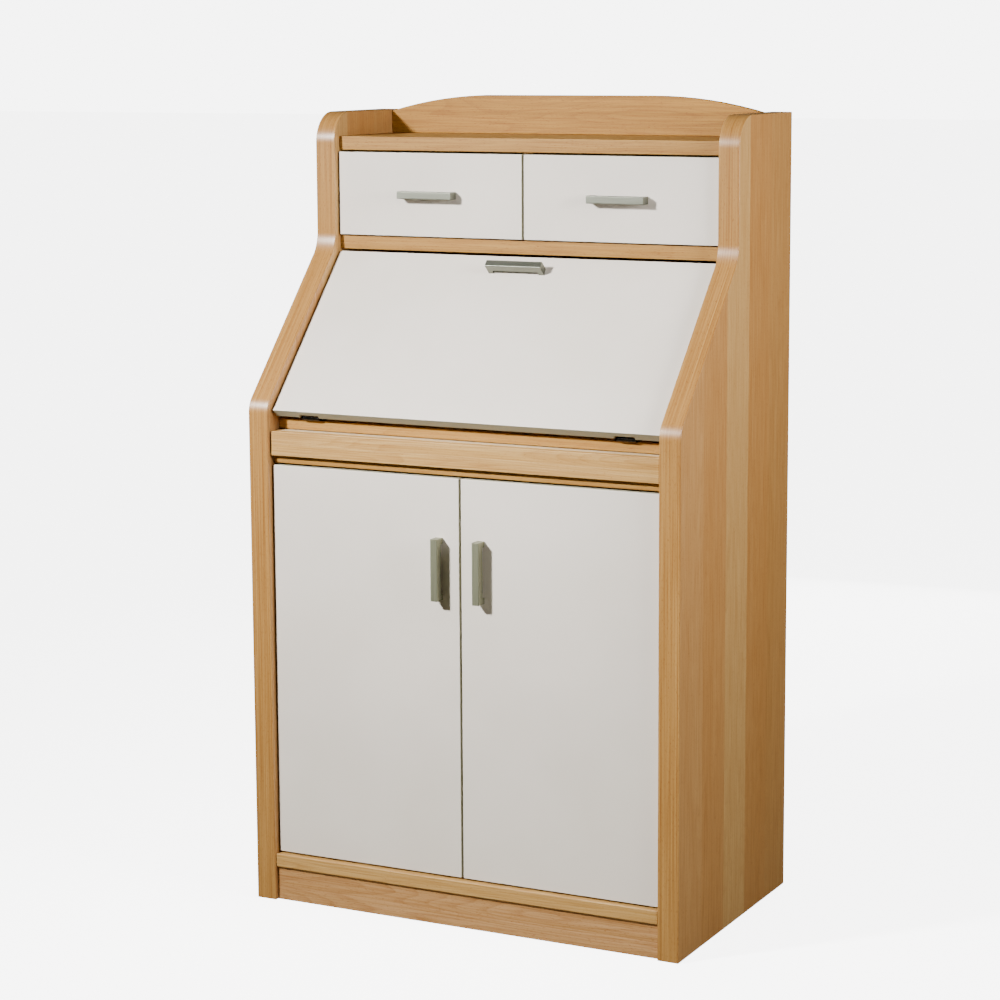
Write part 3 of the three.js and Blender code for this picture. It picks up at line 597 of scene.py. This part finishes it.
def sidePanel(node, name):
    low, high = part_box(node)
    upperFront = high.y - sidePanels["upperDepth"]
    outline = [(high.y, low.z), (low.y, low.z), (low.y, sidePanels["slopeFoot"]),
               (upperFront, sidePanels["slopeHead"]), (upperFront, high.z), (high.y, high.z)]
    corners = [Vector((low.x, y, z)) for y, z in outline]
    shape = bmesh.new()
    shape.faces.new([shape.verts.new(corner) for corner in corners])
    for index, radius in zip((2, 3, 4), sidePanels["bends"]):
        below, here, above = corners[index - 1:index + 2]
        reach = radius / math.tan((below - here).angle(above - here) / 2)
        vertex = min(shape.verts, key=lambda v: (v.co - here).length)
        bmesh.ops.bevel(shape, geom=[vertex], offset=reach, offset_type="OFFSET",
                        segments=sidePanels["bendSteps"], profile=0.5, affect="VERTICES", material=-1)
    shape.faces.ensure_lookup_table()
    pushed = bmesh.ops.extrude_face_region(shape, geom=[shape.faces[0]])
    moved = [item for item in pushed["geom"] if isinstance(item, bmesh.types.BMVert)]
    bmesh.ops.translate(shape, verts=moved, vec=(high.x - low.x, 0, 0))
    bmesh.ops.recalc_face_normals(shape, faces=shape.faces)
    easeEdges(shape, *sidePanels["arris"])
    board = finishPiece(shape, name, bodyOf(node), [sideDecor, edgeBand], [node],
                        lambda face: 0 if abs(face.normal.x) > 0.9 else 1)
    innerX = high.x if high.x < 0 else low.x
    # the holes are cut before the normals are weighted, and both are then made part of the mesh
    drill = boreRows(innerX, node.replace("_side_panel", ""))
    carve = board.modifiers.new("lineBoring", "BOOLEAN")
    carve.object = drill
    carve.solver = "EXACT"
    board.modifiers.move(1, 0)
    board.data = bpy.data.meshes.new_from_object(board.evaluated_get(bpy.context.evaluated_depsgraph_get()))
    board.modifiers.clear()
    bpy.data.objects.remove(drill)
    even = board.modifiers.new("evenNormals", "WEIGHTED_NORMAL")
    even.keep_sharp = True
    return board


bores = {"radius": 0.0025, "depth": 0.009, "pitch": 0.032, "steps": range(-6, 7), "sides": 16}


def boreRows(innerX, side):
    # cutters for two rows of shelf pin holes, each row through a pin that holds the shelf
    shape = bmesh.new()
    for end in ("_front", "_back"):
        low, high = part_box("shelf_pin_" + side + end)
        pin = (low + high) / 2
        for step in bores["steps"]:
            place = Matrix.Translation((innerX, pin.y, pin.z + step * bores["pitch"]))
            bmesh.ops.create_cone(shape, cap_ends=True, segments=bores["sides"], radius1=bores["radius"],
                                  radius2=bores["radius"], depth=2 * bores["depth"],
                                  matrix=place @ Matrix.Rotation(math.radians(90), 4, "Y"))
    mesh = bpy.data.meshes.new("boreRows")
    shape.to_mesh(mesh)
    shape.free()
    drill = bpy.data.objects.new("boreRows", mesh)
    bpy.context.scene.collection.objects.link(drill)
    return drill


sidePanel("left_side_panel", "left_side_board")
sidePanel("right_side_panel", "right_side_board")
print("side panels done")


# boards, fronts and fittings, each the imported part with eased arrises

arrises = {  # arris radius in millimetres and its steps, by kind
    "carcass": (1.0, 3), "front": (0.9, 3), "bottomShelf": (2.0, 4), "inside": (0.6, 2),
    "panel": (0.3, 1), "handle": (0.35, 2), "hinge": (0.2, 2), "fitting": (0.3, 2),
}
boards = {
    "gallery_back": ("carcass", "beech_veneer", galleryDecor),
    "top_shelf": ("carcass", "beech_veneer", boardDecor),
    "middle_shelf": ("carcass", "beech_veneer", boardDecor),
    "writing_board": ("carcass", "beech_veneer", boardDecor),
    "cabinet_top_board": ("carcass", "beech_veneer", boardDecor),
    "bottom_shelf": ("bottomShelf", "beech_veneer", railDecor),
    "plinth": ("carcass", "dark_beech_veneer", plinthDecor),
    "adjustable_shelf": ("carcass", "beech_veneer", boardDecor),
    "drawer_divider": ("inside", "beech_veneer", sideDecor),
    "upper_back_panel": ("panel", "hardboard", hardboard),
    "lower_back_panel": ("panel", "hardboard", hardboard),
    "left_support_batten": ("inside", "drawer_wood", birch),
    "right_support_batten": ("inside", "drawer_wood", birch),
    "left_outer_runner": ("inside", "drawer_wood", birch),
    "left_inner_runner": ("inside", "drawer_wood", birch),
    "right_inner_runner": ("inside", "drawer_wood", birch),
    "right_outer_runner": ("inside", "drawer_wood", birch),
    "left_flap_stop": ("inside", "beech_veneer", sideDecor),
    "right_flap_stop": ("inside", "beech_veneer", sideDecor),
    "support_rail": ("carcass", "beech_veneer", railDecor),
    "support_board": ("inside", "drawer_wood", birchLong),
    "flap": ("front", "cream_lacquer", foil),
    "flap_handle": ("handle", "satin_nickel", nickelAcross),
}
for side in ("left", "right"):
    boards[side + "_door"] = ("front", "cream_lacquer", foil)
    boards[side + "_door_handle"] = ("handle", "satin_nickel", nickelUpright)
    boards[side + "_drawer_front"] = ("front", "cream_lacquer", foil)
    boards[side + "_drawer_handle"] = ("handle", "satin_nickel", nickelAcross)
    boards[side + "_drawer_left_side"] = ("inside", "drawer_wood", birch)
    boards[side + "_drawer_right_side"] = ("inside", "drawer_wood", birch)
    boards[side + "_drawer_back"] = ("inside", "drawer_wood", birchLong)
    boards[side + "_drawer_bottom"] = ("panel", "hardboard", hardboard)
    boards[side + "_flap_leaf"] = ("hinge", "black_steel", blackNickel)
    boards[side + "_flap_hinge_leaf"] = ("hinge", "black_steel", blackNickel)
    boards[side + "_flap_hinge_pin"] = ("hinge", "black_steel", blackNickel)
    for number in ("_1", "_2"):
        boards[side + "_door_cup" + number] = ("fitting", "zinc_steel", zinc)
        boards[side + "_door_arm" + number] = ("fitting", "zinc_steel", zinc)
    for end in ("_front", "_back"):
        boards["shelf_pin_" + side + end] = ("hinge", "zinc_steel", zinc)

slope = math.radians(47)  # the closed flap's rise from level
outSlope = Vector((0, -math.sin(slope), math.cos(slope)))


def bandedFaces(outward):
    # a front's narrow faces, those that look along neither its face nor its back, carry the band
    return lambda face: 1 if abs(face.normal.dot(outward)) < 0.5 else 0


for node, (kind, slotName, material) in boards.items():
    radius, steps = arrises[kind]
    if kind == "front":
        outward = outSlope if node == "flap" else Vector((0, -1, 0))
        easedCopy(node, radius / 1000, steps, node + "_made", [material, frontBand],
                  bandedFaces(outward))
    else:
        easedCopy(node, radius / 1000, steps, node + "_made", [material])
print("boards, fronts and fittings done")


# screws and nails

screws = {
    "rim": 20,  # sides of a head
    "slot": (0.16, 0.62),  # half width and reach of the cross recess, as shares of the head's radius
    "depth": 0.35,  # depth of the recess, as a share of the radius
    "skirt": 1.1,  # how much wider the head is at its foot
}


def crossHead(shape, radius, height, middle, facing):
    # a screw head standing on the surface at middle: a low disc with an eased rim and a cross recess
    head = bmesh.new()
    bmesh.ops.create_circle(head, cap_ends=True, segments=screws["rim"], radius=radius)
    width, reach = (share * radius for share in screws["slot"])
    for cut in (-reach, -width, width, reach):
        for line in ((1, 0, 0), (0, 1, 0)):
            bmesh.ops.bisect_plane(head, geom=head.verts[:] + head.edges[:] + head.faces[:],
                                   dist=0.0000001, plane_co=Vector(line) * cut, plane_no=line)
    cross = []
    for face in head.faces:
        spot = face.calc_center_median()
        beside, beyond = sorted((abs(spot.x), abs(spot.y)))
        if beside < width and beyond < reach:
            cross.append(face)
    sunk = bmesh.ops.extrude_face_region(head, geom=cross)
    bmesh.ops.delete(head, geom=cross, context="FACES_ONLY")
    floorVerts = [item for item in sunk["geom"] if isinstance(item, bmesh.types.BMVert)]
    bmesh.ops.translate(head, verts=floorVerts, vec=(0, 0, -screws["depth"] * radius))
    rim = [edge for edge in head.edges if edge.is_boundary]
    skirt = bmesh.ops.extrude_edge_only(head, edges=rim)
    skirtVerts = [item for item in skirt["geom"] if isinstance(item, bmesh.types.BMVert)]
    bmesh.ops.scale(head, verts=skirtVerts, vec=(screws["skirt"], screws["skirt"], 1))
    bmesh.ops.translate(head, verts=skirtVerts, vec=(0, 0, -height))
    bmesh.ops.recalc_face_normals(head, faces=head.faces)
    turn = Vector(facing).to_track_quat("Z", "X").to_matrix().to_4x4()
    place = Matrix.Translation(Vector(middle) + Vector(facing).normalized() * height) @ turn
    bmesh.ops.transform(head, matrix=place, verts=head.verts)
    joined = bpy.data.meshes.new("head")
    head.to_mesh(joined)
    head.free()
    shape.from_mesh(joined)
    bpy.data.meshes.remove(joined)


handleScrews = {"spread": 0.032, "radius": 0.0036, "height": 0.0018}
hingeScrews = {
    "across": 0.0100, "out": (0.0185, 0.0105),  # from the pin: the middle screw, and the outer two
    "plate": 0.00255, "board": 0.016, "radius": 0.0024, "height": 0.0002,
}
cupScrews = {"spread": 0.024, "radius": 0.0034, "height": 0.0005}
armScrews = {"spread": 0.0165, "behind": 0.012, "plate": 0.003, "radius": 0.0034, "height": 0.0006}


def middleOf(node):
    low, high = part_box(node)
    return (low + high) / 2


def addScrews(name, body, look, places, material=zinc):
    shape = bmesh.new()
    for middle, facing in places:
        crossHead(shape, look["radius"], look["height"], middle, facing)
    finishPiece(shape, name, body, [material])


rearward = Vector((0, 1, 0))
for side, inward in (("left", 1), ("right", -1)):
    spread = handleScrews["spread"]
    grip, inner = middleOf(side + "_door_handle"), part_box(side + "_door")[1].y
    addScrews(side + "_door_handle_screws", side + "_door", handleScrews,
              [((grip.x, inner, grip.z + way * spread), rearward) for way in (-1, 1)])
    grip, inner = middleOf(side + "_drawer_handle"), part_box(side + "_drawer_front")[1].y
    addScrews(side + "_drawer_handle_screws", side + "_drawer", handleScrews,
              [((grip.x + way * spread, inner, grip.z), rearward) for way in (-1, 1)])
    for number in ("_1", "_2"):
        cup, flange = middleOf(side + "_door_cup" + number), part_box(side + "_door_cup" + number)[1].y
        addScrews(side + "_door_cup" + number + "_screws", side + "_door", cupScrews,
                  [((cup.x, flange, cup.z + way * cupScrews["spread"]), rearward) for way in (-1, 1)])
        arm = middleOf(side + "_door_arm" + number)
        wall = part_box(side + "_door_arm" + number)[0 if inward > 0 else 1].x
        x, y = wall + inward * armScrews["plate"], arm.y + armScrews["behind"]
        addScrews(side + "_door_arm" + number + "_screws", "carcass", armScrews,
                  [((x, y, arm.z + way * armScrews["spread"]), (inward, 0, 0)) for way in (-1, 1)])

# screws of the drop flap: its handle's and its hinges'
upSlope = Vector((0, math.cos(slope), math.sin(slope)))
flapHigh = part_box("flap")[1]
flapGrip = middleOf("flap_handle")
innerTop = Vector((0, flapHigh.y, flapHigh.z - hingeScrews["board"] * math.cos(slope)))
behindGrip = innerTop - (innerTop - flapGrip).dot(upSlope) * upSlope
beside = Vector((handleScrews["spread"], 0, 0))
addScrews("flap_handle_screws", "drop_flap", handleScrews,
          [(behindGrip + way * beside, -outSlope) for way in (-1, 1)])
for side in ("left", "right"):
    pin = middleOf(side + "_flap_hinge_pin")
    fixed, moving = [], []
    for way in (-1, 0, 1):
        out = hingeScrews["out"][abs(way)]
        across = Vector((pin.x + way * hingeScrews["across"], pin.y, pin.z))
        fixed.append((across + Vector((0, out, -hingeScrews["plate"])), (0, 0, 1)))
        moving.append((across + out * upSlope + hingeScrews["plate"] * outSlope, -outSlope))
    addScrews(side + "_flap_hinge_screws", "carcass", hingeScrews, fixed, blackNickel)
    addScrews(side + "_flap_leaf_screws", "drop_flap", hingeScrews, moving, blackNickel)


nails = {
    "radius": 0.0022, "crown": 0.0013, "height": 0.0007, "sides": 12,
    "apart": 0.128, "columns": (-2.5, -1.5, -0.5, 0.5, 1.5, 2.5),
    "seam": (-0.004, 0.0045),  # rows below and above the line where the two panels meet
    "divider": (0.030, 0.069, 0.108),  # heights above the foot of the drawer divider
}


def backNails():
    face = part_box("upper_back_panel")[1].y
    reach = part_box("upper_back_panel")[1].x
    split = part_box("lower_back_panel")[1].z
    rows = [middleOf(board).z for board in ("bottom_shelf", "cabinet_top_board", "middle_shelf", "top_shelf")]
    rows += [split + offset for offset in nails["seam"]]
    spots = [(column * nails["apart"], height) for height in rows for column in nails["columns"]]
    spots += [(0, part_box("drawer_divider")[0].z + rise) for rise in nails["divider"]]
    shape = bmesh.new()
    for x, z in spots:
        if abs(x) < reach:
            place = Matrix.Translation((x, face + nails["height"] / 2, z))
            bmesh.ops.create_cone(shape, cap_ends=True, segments=nails["sides"], radius1=nails["radius"],
                                  radius2=nails["crown"], depth=nails["height"],
                                  matrix=place @ Matrix.Rotation(math.radians(-90), 4, "X"))
    finishPiece(shape, "back_panel_nails", "carcass", [zinc])


backNails()
print("screws and nails done")
